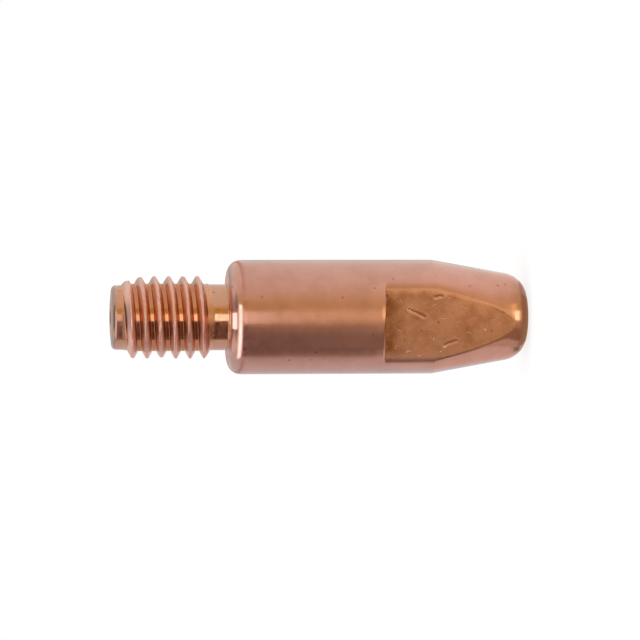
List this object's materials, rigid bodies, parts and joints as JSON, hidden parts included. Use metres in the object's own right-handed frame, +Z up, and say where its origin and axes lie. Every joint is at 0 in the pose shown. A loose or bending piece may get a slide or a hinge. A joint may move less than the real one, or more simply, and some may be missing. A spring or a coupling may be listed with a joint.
{
  "type": "welding contact tip",
  "caption": "Turned copper contact tip with a threaded stub, round body, two pressed flats, tapered nose and a wire bore right through.",
  "frame": {"origin": "middle of the nose face, where the wire leaves; the tip stands on this face", "axes": "+Z up the wire bore towards the threaded end; -Y square to the front flat, +Y to the back flat"},
  "size_m": [0.008, 0.008, 0.0292],
  "materials": {
    "copper": "bright turned copper, satin on the body, pressed flats golden"
  },
  "bodies": {
    "root": {"contact_tip": "copper"}
  },
  "joints": []
}
